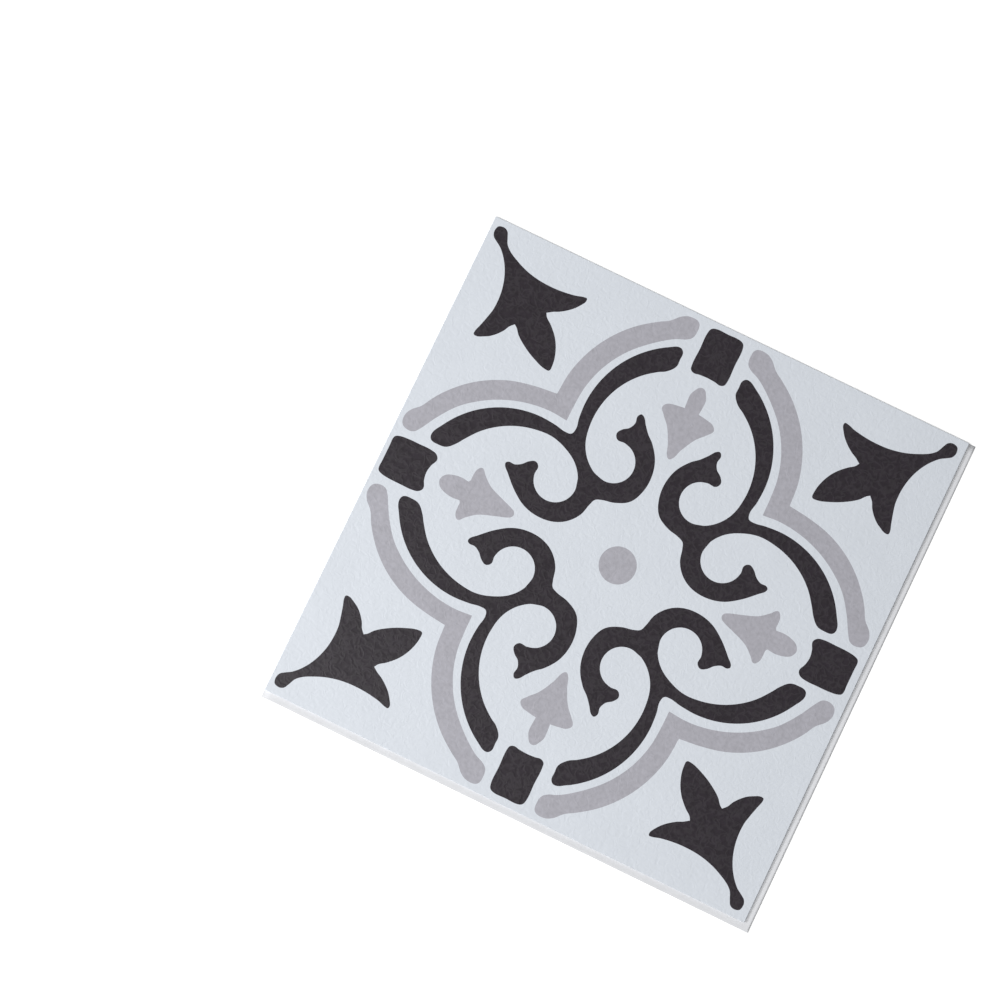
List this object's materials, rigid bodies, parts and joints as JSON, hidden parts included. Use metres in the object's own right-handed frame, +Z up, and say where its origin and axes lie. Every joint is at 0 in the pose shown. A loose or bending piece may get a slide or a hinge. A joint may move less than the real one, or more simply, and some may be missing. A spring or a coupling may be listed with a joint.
{
  "type": "vinyl floor tile",
  "caption": "Square self-adhesive vinyl floor tile with a printed traditional scroll ornament, lying on its slightly oversize paper release liner.",
  "frame": {"origin": "under the middle of the tile, on the release liner's underside, which is the face it rests on", "axes": "+Z up through the printed face; +X to the right and +Y to the top of the print, along the tile's cut edges; the liner stands out past the +X and -Y edges"},
  "size_m": [0.3094, 0.3094, 0.0016],
  "materials": {
    "printed_vinyl": "matt vinyl face in pale blue-grey with charcoal and mid-grey print, embossed with fine streaks all over",
    "liner_paper": "thin smooth white release paper, bare"
  },
  "bodies": {
    "root": {"vinyl_tile": "printed_vinyl", "release_liner": "liner_paper"}
  },
  "joints": []
}
